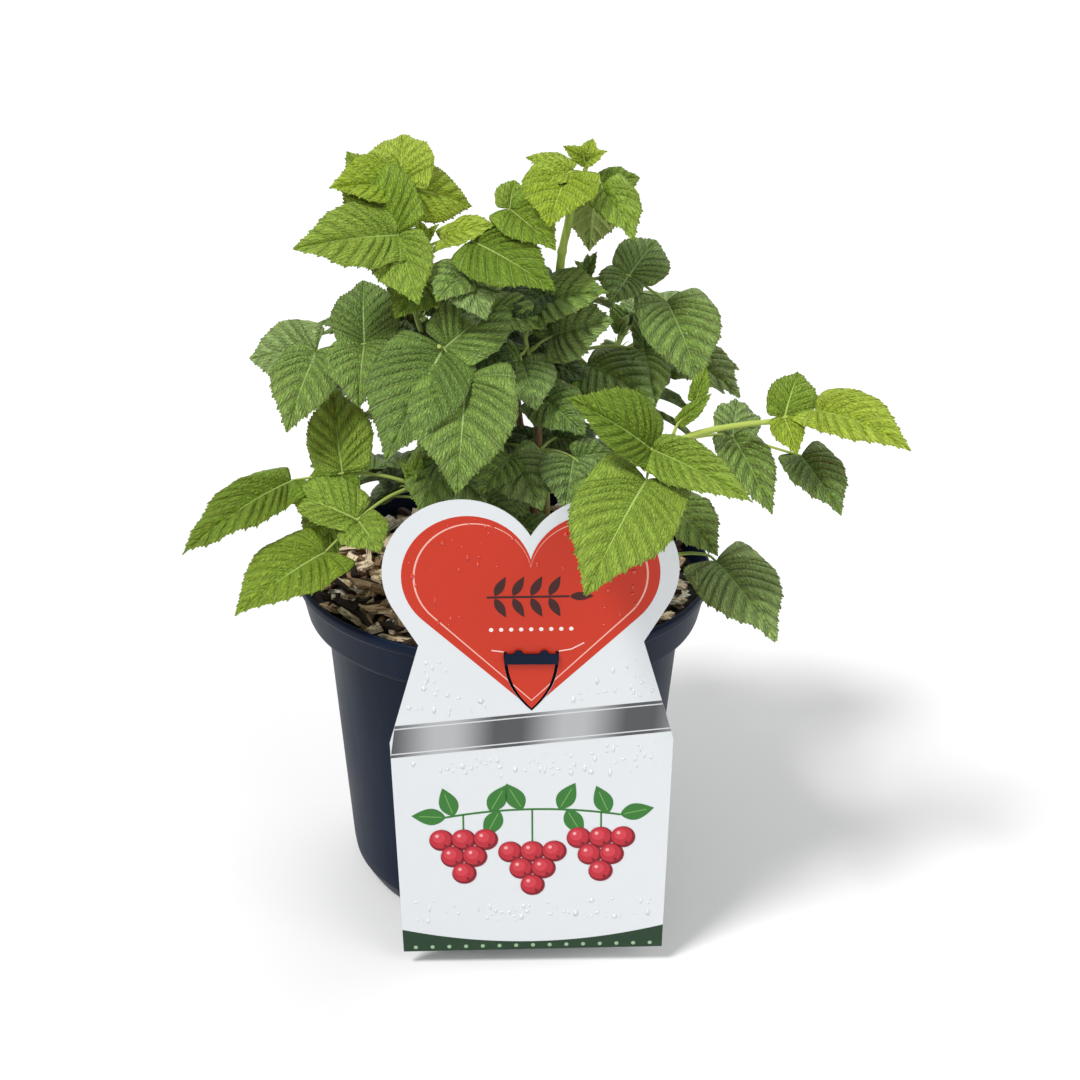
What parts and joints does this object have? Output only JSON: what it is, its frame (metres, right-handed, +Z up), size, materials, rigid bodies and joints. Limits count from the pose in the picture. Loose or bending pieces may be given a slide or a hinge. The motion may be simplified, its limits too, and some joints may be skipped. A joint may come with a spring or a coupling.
{
  "type": "potted raspberry cane",
  "caption": "Young raspberry bush: a clump of slender canes with toothed leaves in threes, in a round tapered plastic pot filled with bark chips, with a heart-topped picture card on the rim.",
  "frame": {"origin": "middle of the pot's flat underside", "axes": "+Z up; -Y is the front, where the card hangs; +X is the right seen from the front"},
  "size_m": [0.3534, 0.2893, 0.4203],
  "materials": {
    "pot": "satin anthracite blue, scuffed",
    "mulch": "rough bark chips on moist compost",
    "card": "smooth printed plastic card",
    "cane_brown": "reddish brown young bark, fine prickles",
    "cane_green": "yellow-green young bark, fine prickles",
    "leaf_young": "bright yellow-green young leaf",
    "leaf_fresh": "fresh green leaf",
    "leaf_grown": "grown mid-green leaf, matte",
    "leaf_dark": "dark green leaf, slight bluish sheen"
  },
  "bodies": {
    "root": {"cane_back": "cane_brown", "cane_back_left": "cane_green", "cane_back_right": "cane_green", "cane_left": "cane_brown", "cane_left_second": "cane_green", "cane_low_left": "cane_brown", "cane_low_right": "cane_green", "cane_middle": "cane_brown", "cane_right": "cane_green", "cane_skirt_right": "cane_green", "foliage_back": "leaf_grown", "foliage_back_left": "leaf_grown", "foliage_back_right": "leaf_grown", "foliage_centre_low": "leaf_dark", "foliage_front": "leaf_grown", "foliage_left_arm": "leaf_grown", "foliage_left_tip": "leaf_young", "foliage_low_back": "leaf_dark", "foliage_low_back_left": "leaf_dark", "foliage_low_left": "leaf_fresh", "foliage_low_right": "leaf_young", "foliage_middle": "leaf_grown", "foliage_right_middle": "leaf_dark", "foliage_right_tip": "leaf_young", "foliage_right_upper": "leaf_dark", "foliage_skirt_right": "leaf_dark", "label_card": "card", "mulch_and_compost": "mulch", "pot": "pot"}
  },
  "joints": []
}
